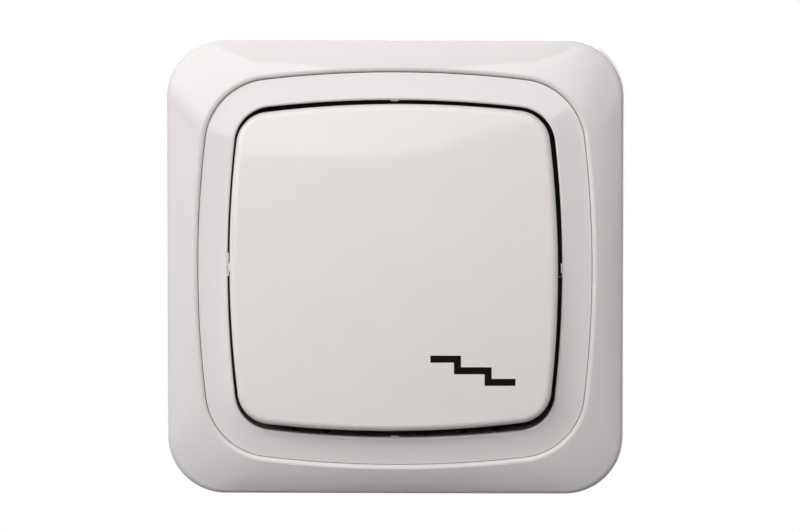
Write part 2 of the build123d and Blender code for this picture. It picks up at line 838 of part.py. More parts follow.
# Support plate: pressed steel with slots for the box screws and tabs that hold the ring
tab_outer = tab_place + plate_thickness / 2
notch_depth = plate_size / 2 - tab_outer
tab_window_height = tab_window_top - tab_window_foot
with BuildPart() as support_plate:
    with BuildSketch(WALL):
        RectangleRounded(plate_size, plate_size, plate_corner)
        window_corner = spigot_corner + plate_play
        window_width = spigot_width + 2 * plate_play
        RectangleRounded(
            window_width, spigot_height + 2 * plate_play, window_corner, mode=Mode.SUBTRACT
        )
        with GridLocations(2 * hook_place, 2 * (tab_outer + notch_depth / 2), 2, 2):
            Rectangle(tab_width, notch_depth, mode=Mode.SUBTRACT)
            with GridLocations(tab_width + tab_relief, 0, 2, 1):
                Rectangle(tab_relief, notch_depth + tab_relief_length, mode=Mode.SUBTRACT)
        with GridLocations(box_screw_pitch, 0, 2, 1):
            SlotOverall(box_slot_length, box_slot_width, mode=Mode.SUBTRACT)
        with GridLocations(2 * claw_screw_place, 0, 2, 1):
            Circle(claw_hole / 2, mode=Mode.SUBTRACT)
    extrude(amount=plate_thickness)
    # Stiffening beads, raised on the front and hollow behind
    for length, width, depth, mode in (
        (bead_length, bead_width, plate_thickness + bead_height, Mode.ADD),
        (bead_length - 2 * bead_wall, bead_width - 2 * bead_wall, bead_height, Mode.SUBTRACT),
    ):
        with BuildSketch(WALL):
            with GridLocations(0, 2 * bead_place, 1, 2):
                SlotOverall(length, width)
        extrude(amount=depth, mode=mode)
    # Tabs bent up beside the ring's collar, each with a window for a hook
    with BuildSketch(WALL):
        with GridLocations(2 * hook_place, 2 * tab_place, 2, 2):
            Rectangle(tab_width, plate_thickness)
    extrude(amount=tab_height)
    with BuildSketch(Plane.XY.offset(-tab_outer)):
        with GridLocations(2 * hook_place, 0, 2, 1):
            with Locations((0, -tab_window_foot - tab_window_height / 2)):
                Rectangle(tab_window_width, tab_window_height)
    extrude(amount=2 * tab_outer, mode=Mode.SUBTRACT)
    bends = level_with(support_plate, 0).filter_by(Axis.X)
    tab_bends = bends.filter_by(lambda edge: abs(abs(edge.center().Z) - tab_outer) < plate_play)
    fillet([edge for edge in tab_bends if edge.length < tab_width + plate_play], tab_round)


# Spreading claws: a screw draws the nut forward and the fork that hangs on it swings outwards
def claw_screw(side):
    """Claw screw, with its head on the front of the support plate."""
    seat = Plane((side * claw_screw_place, -plate_thickness, 0), x_dir=(1, 0, 0), z_dir=(0, -1, 0))
    return slotted_screw(
        seat, claw_screw_diameter, claw_screw_length, claw_head_diameter, claw_head_height
    )


def claw_nut(side):
    """Nut with a stub at each end that the claw hangs on."""
    nut_x = side * claw_screw_place
    with BuildPart() as nut:
        with BuildSketch(WALL.offset(nut_height - nut_thickness / 2)):
            with Locations((nut_x, 0)):
                RectangleRounded(nut_width, nut_length, nut_corner)
        extrude(amount=nut_thickness)
        with BuildSketch(Plane((nut_x, -nut_height, 0))):
            Circle(stub_diameter / 2)
        extrude(amount=nut_length / 2 + claw_gap + claw_sheet, both=True)
        with BuildSketch(WALL.offset(nut_height + nut_thickness / 2)):
            with Locations((nut_x, 0)):
                Circle(claw_screw_diameter / 2 + thread_play)
        extrude(amount=-nut_thickness, mode=Mode.SUBTRACT)
    return nut.part


def claw(side):
    """Pressed steel fork: two arms with eyes, joined by an outer web that ends in teeth."""
    hinge = Plane((side * claw_screw_place, -nut_height, 0), x_dir=(side, 0, 0), z_dir=(0, 0, side))
    arm_half = claw_arm_width / 2
    arm_inside = nut_length / 2 + claw_gap
    arm_outside = arm_inside + claw_sheet
    tooth_pitch = (claw_length - claw_web_start) / claw_teeth
    with BuildPart() as fork:
        with BuildSketch(hinge):
            Circle(arm_half)
            with Locations((0, (claw_web_start + claw_length) / 2)):
                Rectangle(claw_arm_width, claw_length - claw_web_start)
            make_hull()
            for tooth in range(claw_teeth):
                foot = claw_web_start + tooth * tooth_pitch
                with BuildLine():
                    Polyline(
                        (arm_half - claw_sheet, foot),
                        (arm_half, foot),
                        (arm_half + claw_tooth, foot + tooth_pitch),
                        (arm_half - claw_sheet, foot + tooth_pitch),
                        close=True,
                    )
                make_face()
            Circle(stub_diameter / 2 + bearing_play, mode=Mode.SUBTRACT)
        extrude(amount=arm_outside, both=True)
        with BuildSketch(hinge):
            with Locations((-claw_sheet / 2, claw_length / 2)):
                Rectangle(claw_arm_width - claw_sheet, claw_length + claw_arm_width)
            with Locations((0, claw_web_start / 2 - arm_half)):
                Rectangle(claw_arm_width + claw_tooth, claw_web_start + claw_arm_width)
        extrude(amount=arm_inside, both=True, mode=Mode.SUBTRACT)
    return fork.part


pieces = {
    "cover_frame": cover_frame.part,
    "centre_ring": centre_ring.part,
    "rocker_key": rocker_key.part,
    "tumbler": tumbler.part,
    "tumbler_spring": tumbler_spring.part,
    "plunger": plunger.part,
    "seesaw_contact": seesaw_contact.part,
    "moving_contact_rivets": moving_contact_rivets.part,
    "fixed_contact_rivets": fixed_contact_rivets.part,
    "common_strip": common_strip.part,
    "upper_strip": upper_strip,
    "lower_strip": lower_strip,
    "base_housing": base_housing.part,
    "mechanism_cover": mechanism_cover.part,
    "housing_screws": housing_screws.part,
    "support_plate": support_plate.part,
}
for terminal, (side_x, side_z) in terminals.items():
    pieces[terminal + "_terminal_cage"] = terminal_cage(side_x, side_z)
    pieces[terminal + "_terminal_screw"] = terminal_screw(side_x, side_z)
for side, name in zip(SIDES, ("left", "right")):
    pieces[name + "_claw_screw"] = claw_screw(side)
    pieces[name + "_claw_nut"] = claw_nut(side)
    pieces[name + "_claw"] = claw(side)

os.makedirs("parts", exist_ok=True)
for name, piece in pieces.items():
    piece.label = name
    export_step(piece, f"parts/{name}.step")
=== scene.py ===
"""Finishes, printed symbol, screw threads, wound spring and studio of a flush-mounted rocker switch.

All lengths are in metres. The wall is the plane Y = 0, the front faces -Y and +Z is up.
"""

import json
from math import cos, pi, radians, sin

import bmesh
import bpy
from mathutils import Matrix, Vector


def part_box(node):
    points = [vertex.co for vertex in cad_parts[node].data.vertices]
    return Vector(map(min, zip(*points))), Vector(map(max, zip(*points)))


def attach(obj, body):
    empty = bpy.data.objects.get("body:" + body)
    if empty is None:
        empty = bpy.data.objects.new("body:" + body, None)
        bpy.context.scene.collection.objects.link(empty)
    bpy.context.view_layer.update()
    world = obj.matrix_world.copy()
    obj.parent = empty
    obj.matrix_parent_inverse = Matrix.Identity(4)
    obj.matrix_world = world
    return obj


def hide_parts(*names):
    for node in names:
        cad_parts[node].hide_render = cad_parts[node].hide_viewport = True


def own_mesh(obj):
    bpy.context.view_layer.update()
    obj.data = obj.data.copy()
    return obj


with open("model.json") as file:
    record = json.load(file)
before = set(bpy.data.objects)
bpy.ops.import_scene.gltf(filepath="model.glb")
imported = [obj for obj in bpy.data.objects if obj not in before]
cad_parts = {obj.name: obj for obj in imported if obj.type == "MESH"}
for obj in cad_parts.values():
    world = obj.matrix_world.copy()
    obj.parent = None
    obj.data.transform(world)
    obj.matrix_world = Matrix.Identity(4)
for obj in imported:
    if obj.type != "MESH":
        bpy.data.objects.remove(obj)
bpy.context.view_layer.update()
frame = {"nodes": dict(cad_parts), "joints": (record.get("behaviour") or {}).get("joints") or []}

bl_info = {
    "name": "Rocker switch dressing",
    "version": (1, 0, 0),
    "blender": (4, 5, 0),
    "location": "View3D > Sidebar > Switch",
    "description": "Dresses a flush-mounted rocker switch with its finishes, printed symbol and threads",
    "category": "Object",
}

MM = 0.001
MICRON = 0.000001

# Which finish each piece of the frame takes
cover_nodes = ("cover_frame", "centre_ring")
key_nodes = ("rocker_key",)
tumbler_nodes = ("tumbler", "plunger")
housing_nodes = ("base_housing", "mechanism_cover")
brass_nodes = ("common_strip", "upper_strip", "lower_strip", "seesaw_contact")
rivet_nodes = ("moving_contact_rivets", "fixed_contact_rivets")
plate_nodes = ("support_plate",)
terminals = ("common", "upper", "lower")
claw_sides = ("left", "right")
cage_nodes = tuple(terminal + "_terminal_cage" for terminal in terminals)
claw_nodes = tuple(side + "_claw" for side in claw_sides) + tuple(side + "_claw_nut" for side in claw_sides)

rocker_joint = next(joint for joint in frame["joints"] if joint["name"] == "rocker_tilt")
plunger_joint = next(joint for joint in frame["joints"] if joint["name"] == "plunger_slide")

# Shank thickness and head height of each kind of screw, as its solid has them
terminal_screw_size = (3.0 * MM, 1.5 * MM)
claw_screw_size = (3.0 * MM, 1.8 * MM)
housing_screw_size = (2.4 * MM, 1.3 * MM)

# Thread: crest and flank as shares of half a pitch, and the plain neck under the head in turns
thread_crest = 0.12
thread_flank = 0.62
neck_turns = 0.4

# Depths of the neck and of the tip's chamfer, as shares of the thread's depth
neck_depth = 0.6
tip_depth = 1.4

# Screw head: chamfer at its foot, reach of the two slots as shares of its diameter, and the least
# angle in degrees at which an edge stays sharp
head_chamfer = 0.1 * MM
slot_reach = 1.1
cross_reach = 0.58
screw_crease = 32

# Fineness of the made meshes
screw_sides = 40
rows_per_pitch = 8
rounding_steps = 4
wire_sides = 10
steps_per_turn = 28
panel_columns = 48
panel_rows = 16

# Softboxes: how far they stand from the switch, and the softness of their sharp edges in degrees
panel_distance = 0.6
sharp_edge = 0.01


# Values that a user may change

def colour_property(label, about, default):
    """A colour that a user may change."""
    return bpy.props.FloatVectorProperty(
        name=label, description=about, default=default, size=3, min=0.0, max=1.0, subtype="COLOR"
    )


def length_property(label, about, default):
    """A length in metres that a user may change."""
    return bpy.props.FloatProperty(
        name=label, description=about, default=default, unit="LENGTH", subtype="DISTANCE", precision=6
    )


def angle_property(label, about, degrees):
    """An angle that a user may change."""
    return bpy.props.FloatProperty(
        name=label, description=about, default=radians(degrees), unit="ROTATION", subtype="ANGLE"
    )


def factor_property(label, about, default, highest=1.0):
    """A plain number that a user may change."""
    return bpy.props.FloatProperty(
        name=label, description=about, default=default, min=0.0, max=highest, subtype="FACTOR"
    )


def brightness_property(label, about, default):
    """The brightness of a light that a user may change."""
    return bpy.props.FloatProperty(name=label, description=about, default=default, min=0.0)


class SWITCH_PG_finishes(bpy.types.PropertyGroup):
    """Colours and gloss of the switch's materials"""

    cover: colour_property("Cover", "Moulded frame and ring", (0.835, 0.796, 0.789))
    key: colour_property("Key", "Moulded rocker key, a shade warmer", (0.865, 0.812, 0.8))
    tumbler: colour_property("Tumbler", "Inner moving plastic", (0.72, 0.71, 0.67))
    housing: colour_property("Housing", "Grey moulded base", (0.34, 0.35, 0.345))
    steel: colour_property("Steel", "Zinc plated sheet", (0.62, 0.63, 0.65))
    # The plate's near-black colour is painted shade in the key's gap
    plate_shade_colour: colour_property("Black steel", "Blackened support plate", (0.022, 0.023, 0.025))
    brass: colour_property("Brass", "Rolled brass strip", (0.74, 0.53, 0.24))
    silver: colour_property("Silver", "Contact faces", (0.80, 0.79, 0.77))
    ink: colour_property("Ink", "Printed symbol", (0.0035, 0.0018, 0.0018))
    cover_roughness: factor_property("Cover roughness", "Roughness of the glossy cover", 0.045)
    inner_roughness: factor_property("Inner roughness", "Roughness of the hidden plastics", 0.42)
    metal_roughness: factor_property("Metal roughness", "Roughness of plated steel", 0.34)


class SWITCH_PG_symbol(bpy.types.PropertyGroup):
    """Sizes of the staircase symbol on the key"""

    left: length_property("Left end", "Left end of the stairs from the key's middle", 6.35 * MM)
    top: length_property("Top edge", "Top of the upper tread from the key's middle", -15.47 * MM)
    stroke: length_property("Stroke", "Width of the printed line", 1.24 * MM)
    tread: length_property("Tread", "Length from one riser to the next", 5.4 * MM)
    last_tread: length_property("Last tread", "Length of the lowest tread past its riser", 4.2 * MM)
    rise: length_property("Rise", "Height of one step", 2.04 * MM)
    film: length_property("Film", "Thickness of the ink above the surface", 0.02 * MM)
    grain: length_property("Mesh size", "Size of the mesh that follows the crown", 0.36 * MM)


class SWITCH_PG_screws(bpy.types.PropertyGroup):
    """Sizes of the screws' threads and heads"""

    pitch: length_property("Pitch", "Distance between two turns of a thread", 0.5 * MM)
    depth: length_property("Depth", "Depth of a thread", 0.27 * MM)
    slot_width: length_property("Slot width", "Width of the driver slot", 0.8 * MM)
    slot_depth: length_property("Slot depth", "Depth of the driver slot", 0.8 * MM)
    cross_width: length_property("Cross width", "Width of the short slot across the long one", 0.7 * MM)
    head_round: length_property("Head rounding", "Rounding of the head's edge", 0.3 * MM)


class SWITCH_PG_spring(bpy.types.PropertyGroup):
    """Sizes of the spring behind the plunger"""

    wire: length_property("Wire", "Thickness of the spring wire", 0.6 * MM)
    turns: factor_property("Open turns", "Turns between the two closed ends", 4.5, 12.0)
    closed: factor_property("Closed turns", "Turns that lie close together at each end", 1.0, 3.0)


class SWITCH_PG_studio(bpy.types.PropertyGroup):
    """Camera, softboxes and surroundings"""

    distance: length_property("Camera distance", "From the camera to the switch", 1.2)
    turn: angle_property("Camera turn", "How far the camera stands to the right", 1.2)
    height: angle_property("Camera height", "Elevation of the camera", 5.4)
    lens: bpy.props.FloatProperty(
        name="Lens", description="Focal length in millimetres", default=305.0, subtype="DISTANCE_CAMERA"
    )
    aim_right: length_property("Aim right", "How far right of the middle the camera aims", 0.85 * MM)
    aim_up: length_property("Aim up", "How far above the middle the camera aims", 0.18 * MM)
    softbox: brightness_property("Softbox", "Brightness of the large softbox", 3.13)
    side_box: brightness_property("Side box", "Brightness of the softbox on the left", 2.1)
    rear_box: brightness_property("Rear box", "Brightness of the softbox behind the switch", 2.6)
    ceiling: brightness_property("Ceiling", "Brightness of the soft light from above", 0.36)
    floor_below: length_property("Floor below", "Usual height of such a switch above the floor", 1.05)
    floor_width: length_property("Floor width", "Side of the square floor", 0.5)


# Materials

def settings(name):
    """Property group of this name on the scene."""
    return getattr(bpy.context.scene, "switch_" + name)


def paint(nodes, material):
    """Gives CAD nodes, or made objects, this material as their only one."""
    for node in nodes:
        piece = frame["nodes"][node] if isinstance(node, str) else node
        piece.data.materials.clear()
        piece.data.materials.append(material)


class Finish:
    """A material with its principled shader and a few ways to vary it over the surface."""

    def __init__(self, name, roughness, metallic=0.0):
        self.material = bpy.data.materials.new(name)
        self.material.use_nodes = True
        self.tree = self.material.node_tree
        self.shader = self.tree.nodes["Principled BSDF"]
        self.shader.inputs["Roughness"].default_value = roughness
        self.shader.inputs["Metallic"].default_value = metallic
        self.height = None

    def node(self, kind, **values):
        """New node with input values given by socket name."""
        made = self.tree.nodes.new(kind)
        for socket, value in values.items():
            made.inputs[socket].default_value = value
        return made

    def link(self, source, target):
        """Joins an output to an input."""
        self.tree.links.new(source, target)

    def noise(self, size, detail=2.0, stretch=(1.0, 1.0, 1.0)):
        """Noise whose features are about this size, in metres, drawn out along some axes."""
        place = self.node("ShaderNodeTexCoord")
        scaled = self.node("ShaderNodeMapping", Scale=stretch)
        speckle = self.node("ShaderNodeTexNoise", Scale=1.0 / size, Detail=detail)
        self.link(place.outputs["Object"], scaled.inputs["Vector"])
        self.link(scaled.outputs["Vector"], speckle.inputs["Vector"])
        return speckle.outputs["Fac"]

    def colours(self, factor, first, second, low=0.35, high=0.65):
        """Colour that turns from first to second as factor goes from low to high."""
        ramp = self.node("ShaderNodeValToRGB")
        marks = ramp.color_ramp.elements
        for mark, position, colour in ((marks[0], low, first), (marks[1], high, second)):
            mark.position = position
            mark.color = (*colour, 1.0)
        self.link(factor, ramp.inputs["Fac"])
        return ramp.outputs["Color"]

    def colour(self, source):
        """Takes the base colour from this output."""
        self.link(source, self.shader.inputs["Base Color"])

    def roughness(self, factor, start, end):
        """Roughness that goes from start to end with the factor."""
        spread = self.node("ShaderNodeMapRange")
        spread.inputs["To Min"].default_value = start
        spread.inputs["To Max"].default_value = end
        self.link(factor, spread.inputs["Value"])
        self.link(spread.outputs["Result"], self.shader.inputs["Roughness"])

    def bump(self, factor, height, strength=1.0):
        """Bump of this height, in metres, on top of any earlier one."""
        relief = self.node("ShaderNodeBump", Strength=strength, Distance=height)
        self.link(factor, relief.inputs["Height"])
        if self.height:
            self.link(self.height, relief.inputs["Normal"])
        self.height = relief.outputs["Normal"]
        self.link(self.height, self.shader.inputs["Normal"])


def shaded(colour, factor):
    """The colour, darker or lighter by this factor."""
    return tuple(min(1.0, channel * factor) for channel in colour)


def tinted(colour, tint):
    """The colour with its red, green and blue each changed by the tint's factor."""
    return tuple(channel * factor for channel, factor in zip(colour, tint))


def glossy_cover(name, colour, roughness):
    """Moulded gloss plastic: faint flow shading, an even skin and the finest handling marks."""
    finish = Finish(name, roughness)
    flow = finish.noise(size=9 * MM, detail=3.0)
    finish.colour(finish.colours(flow, shaded(colour, 0.993), shaded(colour, 1.006)))
    handling = finish.noise(size=2.5 * MM, detail=4.0, stretch=(1.0, 1.0, 0.35))
    finish.roughness(handling, start=roughness * 0.85, end=roughness * 1.2)
    finish.bump(finish.noise(size=4.5 * MM, detail=1.0), height=0.5 * MICRON)
    finish.bump(finish.noise(size=0.35 * MM), height=0.06 * MICRON)
    return finish.material


def inner_plastic(name, colour, roughness):
    """Satin plastic of the moving parts, with a fine spark-eroded skin."""
    finish = Finish(name, roughness)
    flow = finish.noise(size=3 * MM, detail=3.0)
    finish.colour(finish.colours(flow, shaded(colour, 0.95), shaded(colour, 1.04)))
    wear = finish.noise(size=1.2 * MM, detail=3.0)
    finish.roughness(wear, start=roughness * 0.85, end=roughness * 1.15)
    finish.bump(finish.noise(size=0.22 * MM), height=6 * MICRON, strength=0.5)
    return finish.material


def moulded_base(name, colour, roughness):
    """Mineral-filled base plastic: flecks of filler, flow marks and a dull, slightly rough skin."""
    finish = Finish(name, roughness)
    fleck = finish.noise(size=0.18 * MM)
    flow = finish.noise(size=6 * MM, detail=4.0, stretch=(1.0, 0.4, 1.0))
    ground = finish.colours(flow, shaded(colour, 0.93), shaded(colour, 1.06))
    light = finish.colours(fleck, (0.0, 0.0, 0.0), (1.0, 1.0, 1.0), low=0.60, high=0.74)
    mix = finish.node("ShaderNodeMix")
    mix.data_type = "RGBA"
    finish.link(light, mix.inputs["Factor"])
    finish.link(ground, mix.inputs["A"])
    mix.inputs["B"].default_value = (*shaded(colour, 1.35), 1.0)
    finish.colour(mix.outputs["Result"])
    finish.roughness(flow, start=roughness, end=roughness * 1.3)
    finish.bump(fleck, height=5 * MICRON, strength=0.6)
    return finish.material


def plated_steel(name, colour, roughness, grain_stretch):
    """Zinc plated steel: bluish and straw-coloured patches over the rolling grain."""
    finish = Finish(name, roughness, metallic=1.0)
    patch = finish.noise(size=5 * MM, detail=4.0)
    blue = tinted(colour, (0.95, 0.98, 1.02))
    straw = tinted(colour, (1.04, 1.02, 0.96))
    finish.colour(finish.colours(patch, blue, straw, low=0.38, high=0.66))
    grain = finish.noise(size=0.25 * MM, detail=3.0, stretch=grain_stretch)
    finish.roughness(grain, start=roughness * 0.75, end=roughness * 1.3)
    finish.bump(grain, height=3 * MICRON, strength=0.5)
    finish.bump(finish.noise(size=0.9 * MM, detail=3.0), height=4 * MICRON, strength=0.4)
    return finish.material


def painted_shade_plate(name, colour):
    """Steel sheet painted near black as painted shade in the key's gap: a dull, slightly brown skin,
    lighter in patches.
    """
    finish = Finish(name, roughness=0.55)
    finish.shader.inputs["Specular IOR Level"].default_value = 0.22
    patch = finish.noise(size=4 * MM, detail=5.0)
    worn = tinted(colour, (2.1, 1.9, 1.7))
    finish.colour(finish.colours(patch, colour, worn, low=0.45, high=0.78))
    finish.roughness(patch, start=0.5, end=0.68)
    finish.bump(finish.noise(size=0.3 * MM, detail=3.0), height=4 * MICRON, strength=0.5)
    return finish.material


def rolled_brass(name, colour):
    """Rolled brass strip: a drawn grain with duller, browner patches."""
    finish = Finish(name, roughness=0.3, metallic=1.0)
    patch = finish.noise(size=2.5 * MM, detail=4.0)
    dull = tinted(colour, (0.82, 0.76, 0.74))
    finish.colour(finish.colours(patch, dull, shaded(colour, 1.05), low=0.32, high=0.6))
    grain = finish.noise(size=0.15 * MM, stretch=(0.1, 1.0, 1.0))
    finish.roughness(grain, start=0.22, end=0.42)
    finish.bump(grain, height=2 * MICRON, strength=0.5)
    return finish.material


def contact_silver(name, colour):
    """Silver contact faces, dulled in patches where they meet."""
    finish = Finish(name, roughness=0.2, metallic=1.0)
    patch = finish.noise(size=0.6 * MM, detail=3.0)
    dull, bright = shaded(colour, 0.7), shaded(colour, 1.1)
    finish.colour(finish.colours(patch, dull, bright, low=0.3, high=0.55))
    finish.roughness(patch, start=0.34, end=0.14)
    finish.bump(finish.noise(size=0.1 * MM), height=1.5 * MICRON, strength=0.5)
    return finish.material


def spring_wire(name, colour):
    """Drawn spring wire, bright with faint draw lines."""
    finish = Finish(name, roughness=0.24, metallic=1.0)
    draw = finish.noise(size=0.12 * MM)
    finish.colour(finish.colours(draw, shaded(colour, 0.8), colour))
    finish.roughness(draw, start=0.18, end=0.34)
    finish.bump(draw, height=1.5 * MICRON, strength=0.5)
    return finish.material


def printed_ink(name, colour):
    """Pad-printed ink: near black, a little thinner in places, with a soft gloss."""
    finish = Finish(name, roughness=0.38)
    finish.shader.inputs["Specular IOR Level"].default_value = 0.06
    thin = finish.noise(size=0.3 * MM, detail=3.0)
    finish.colour(finish.colours(thin, shaded(colour, 0.8), shaded(colour, 1.6), low=0.45, high=0.75))
    finish.roughness(finish.noise(size=0.12 * MM), start=0.3, end=0.46)
    finish.bump(finish.noise(size=0.08 * MM), height=1.0 * MICRON, strength=0.4)
    return finish.material


# Steps that give the finishes

class SWITCH_OT_finish_cover(bpy.types.Operator):
    """Give the frame, the ring and the key their gloss plastic"""

    bl_idname = "switch.finish_cover"
    bl_label = "Finish cover and key"

    def execute(self, context):
        look = settings("finishes")
        cover = glossy_cover("cover_plastic", tuple(look.cover), look.cover_roughness)
        paint(cover_nodes, cover)
        key = glossy_cover("key_plastic", tuple(look.key), look.cover_roughness)
        paint(key_nodes, key)
        return {"FINISHED"}


class SWITCH_OT_finish_mechanism(bpy.types.Operator):
    """Give the tumbler, the plunger and the housing their plastics"""

    bl_idname = "switch.finish_mechanism"
    bl_label = "Finish mechanism plastics"

    def execute(self, context):
        look = settings("finishes")
        inner = inner_plastic("tumbler_plastic", tuple(look.tumbler), look.inner_roughness)
        paint(tumbler_nodes, inner)
        base = moulded_base("housing_plastic", tuple(look.housing), look.inner_roughness)
        paint(housing_nodes, base)
        return {"FINISHED"}


class SWITCH_OT_finish_metal(bpy.types.Operator):
    """Give the claws, cages, strips and rivets their metals, and the plate its near-black painted shade"""

    bl_idname = "switch.finish_metal"
    bl_label = "Finish metal parts"

    def execute(self, context):
        look = settings("finishes")
        # Near-black plate: painted shade in the key's gap
        paint(plate_nodes, painted_shade_plate("plate_painted_shade", tuple(look.plate_shade_colour)))
        bright = shaded(tuple(look.steel), 0.94)
        claw_steel = plated_steel("claw_steel", bright, look.metal_roughness, grain_stretch=(1.0, 0.1, 1.0))
        paint(claw_nodes + cage_nodes, claw_steel)
        paint(brass_nodes, rolled_brass("strip_brass", tuple(look.brass)))
        paint(rivet_nodes, contact_silver("rivet_silver", tuple(look.silver)))
        return {"FINISHED"}


# Printed symbol

def rocker_plane():
    """Middle of the pivot, and the key's right, up and outward directions."""
    outward = Vector(plunger_joint["axis"]).normalized()
    right = Vector(rocker_joint["axis"]).normalized()
    return Vector(rocker_joint["pos_m"]), right, outward.cross(right), outward


def stair_cells(symbol):
    """Lines of a grid over the symbol, and the cells of it that are inked."""
    left, top, stroke = symbol.left, symbol.top, symbol.stroke
    treads = 3
    boxes = []
    for step in range(treads):
        start = left + step * symbol.tread
        high = top - step * symbol.rise
        length = symbol.last_tread if step == treads - 1 else symbol.tread
        boxes.append((start, start + length, high - stroke, high))
        if step:
            boxes.append((start - stroke, start, high - stroke, high + symbol.rise))

    def divided(edges):
        """Lines through these edges and between them, no farther apart than the mesh size asks."""
        nanometre_digits = 9
        marks = sorted({round(edge, nanometre_digits) for edge in edges})
        lines = []
        for first, last in zip(marks, marks[1:]):
            parts = max(1, round((last - first) / symbol.grain))
            lines += [first + (last - first) * part / parts for part in range(parts)]
        return lines + [marks[-1]]

    lines_x = divided(edge for box in boxes for edge in box[:2])
    lines_y = divided(edge for box in boxes for edge in box[2:])

    def inked(x, y):
        """Whether this point lies on the symbol."""
        return any(box[0] < x < box[1] and box[2] < y < box[3] for box in boxes)

    cells = [
        (column, row)
        for column in range(len(lines_x) - 1)
        for row in range(len(lines_y) - 1)
        if inked((lines_x[column] + lines_x[column + 1]) / 2, (lines_y[row] + lines_y[row + 1]) / 2)
    ]
    return lines_x, lines_y, cells


def linked_object(name, shape):
    """Object of the scene made from this bmesh, which is freed."""
    mesh = bpy.data.meshes.new(name)
    shape.to_mesh(mesh)
    shape.free()
    made = bpy.data.objects.new(name, mesh)
    bpy.context.scene.collection.objects.link(made)
    return made


def join_rings(shape, rings):
    """Smooth faces between each ring of vertices and the next, and a flat face at both ends."""
    around = len(rings[0])
    for first, second in zip(rings, rings[1:]):
        for step in range(around):
            following = (step + 1) % around
            face = shape.faces.new((first[step], first[following], second[following], second[step]))
            face.smooth = True
    shape.faces.new(list(reversed(rings[0])))
    shape.faces.new(rings[-1])
    bmesh.ops.recalc_face_normals(shape, faces=shape.faces)


class SWITCH_OT_print_symbol(bpy.types.Operator):
    """Print the staircase symbol on the crowned face of the key"""

    bl_idname = "switch.print_symbol"
    bl_label = "Print staircase symbol"

    def execute(self, context):
        symbol = settings("symbol")
        pivot, right, up, outward = rocker_plane()
        key = frame["nodes"]["rocker_key"]
        lines_x, lines_y, cells = stair_cells(symbol)
        stand_off = 20 * MM
        ink = bmesh.new()
        corners = {}

        def corner(column, row):
            """Vertex of the film over this crossing of the grid."""
            if (column, row) not in corners:
                above = pivot + right * lines_x[column] + up * lines_y[row] + outward * stand_off
                hit, place, _, _ = key.ray_cast(above, -outward)
                if not hit:
                    raise RuntimeError("the symbol lies off the key")
                corners[column, row] = ink.verts.new(place + outward * symbol.film)
            return corners[column, row]

        around = ((0, 0), (1, 0), (1, 1), (0, 1))
        for column, row in cells:
            ink.faces.new([corner(column + step_x, row + step_y) for step_x, step_y in around])
        sides = bmesh.ops.extrude_face_region(ink, geom=list(ink.faces))
        sunk = [part for part in sides["geom"] if isinstance(part, bmesh.types.BMVert)]
        bmesh.ops.translate(ink, verts=sunk, vec=-outward * 2 * symbol.film)
        bmesh.ops.recalc_face_normals(ink, faces=ink.faces)
        piece = linked_object("staircase_symbol", ink)
        paint([piece], printed_ink("symbol_ink", tuple(settings("finishes").ink)))
        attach(piece, "rocker")
        return {"FINISHED"}


# Screws

def thread_radius(height, angle, top_radius, threads, shank_end):
    """Radius of a threaded shank at this height and angle.

    The thread runs out into a plain neck under the head, and the tip is chamfered.
    """
    turn = (height / threads.pitch - angle / (2 * pi)) % 1.0
    from_crest = abs(2 * turn - 1)
    flank = min(1.0, max(0.0, (from_crest - thread_crest) / thread_flank))
    run_out = min(1.0, max(0.0, (shank_end - height) / threads.pitch - neck_turns))
    radius = top_radius - threads.depth * (flank * run_out + (1 - run_out) * neck_depth)
    return min(radius, top_radius - tip_depth * threads.depth + height)


def cut_with(piece, tool):
    """Cuts the tool's shape out of the piece and removes the tool."""
    cut = piece.modifiers.new("cut", "BOOLEAN")
    cut.operation = "DIFFERENCE"
    cut.solver = "EXACT"
    cut.object = tool
    bpy.context.view_layer.update()
    finished = piece.evaluated_get(bpy.context.evaluated_depsgraph_get())
    mesh = bpy.data.meshes.new_from_object(finished)
    piece.modifiers.clear()
    piece.data = mesh
    bpy.data.objects.remove(tool)


def block(name, size, middle):
    """Box used as a cutting tool."""
    shape = bmesh.new()
    bmesh.ops.create_cube(shape, size=1.0)
    bmesh.ops.scale(shape, vec=size, verts=shape.verts)
    bmesh.ops.translate(shape, vec=middle, verts=shape.verts)
    return linked_object(name, shape)


def screw_shape(name, length, shank, head_diameter, head_height, threads):
    """Cheese-head screw with a real thread, its tip at the origin and its head towards +Z."""
    shank_end = length - head_height
    angles = [2 * pi * step / screw_sides for step in range(screw_sides)]
    count = round(shank_end / threads.pitch * rows_per_pitch)
    rows = []
    for row in range(count + 1):
        height = shank_end * row / count
        radii = [thread_radius(height, angle, shank / 2, threads, shank_end) for angle in angles]
        rows.append([(height, radius) for radius in radii])
    head_radius = head_diameter / 2
    outline = [(shank_end, head_radius - head_chamfer), (shank_end + head_chamfer, head_radius)]
    for step in range(rounding_steps + 1):
        lean = radians(90 * step / rounding_steps)
        inset = threads.head_round * (1 - cos(lean))
        outline.append((length - threads.head_round * (1 - sin(lean)), head_radius - inset))
    rows += [[point] * screw_sides for point in outline]
    shape = bmesh.new()
    rings = [
        [
            shape.verts.new((radius * cos(angle), radius * sin(angle), height))
            for angle, (height, radius) in zip(angles, row)
        ]
        for row in rows
    ]
    join_rings(shape, rings)
    piece = linked_object(name, shape)
    depth = 2 * threads.slot_depth
    long_slot = (head_diameter * slot_reach, threads.slot_width, depth)
    cut_with(piece, block("slot_cutter", long_slot, (0, 0, length)))
    cross_slot = (threads.cross_width, head_diameter * cross_reach, depth)
    cut_with(piece, block("cross_cutter", cross_slot, (0, 0, length)))
    piece.data.set_sharp_from_angle(angle=radians(screw_crease))
    return piece


def seat_screw(piece, tip, heading, turned=0.0):
    """Moves a screw's mesh to its place: its tip here, its head towards this heading."""
    lean = Vector(heading).to_track_quat("Z", "Y").to_matrix().to_4x4()
    piece.data.transform(Matrix.Translation(tip) @ lean @ Matrix.Rotation(turned, 4, "Z"))


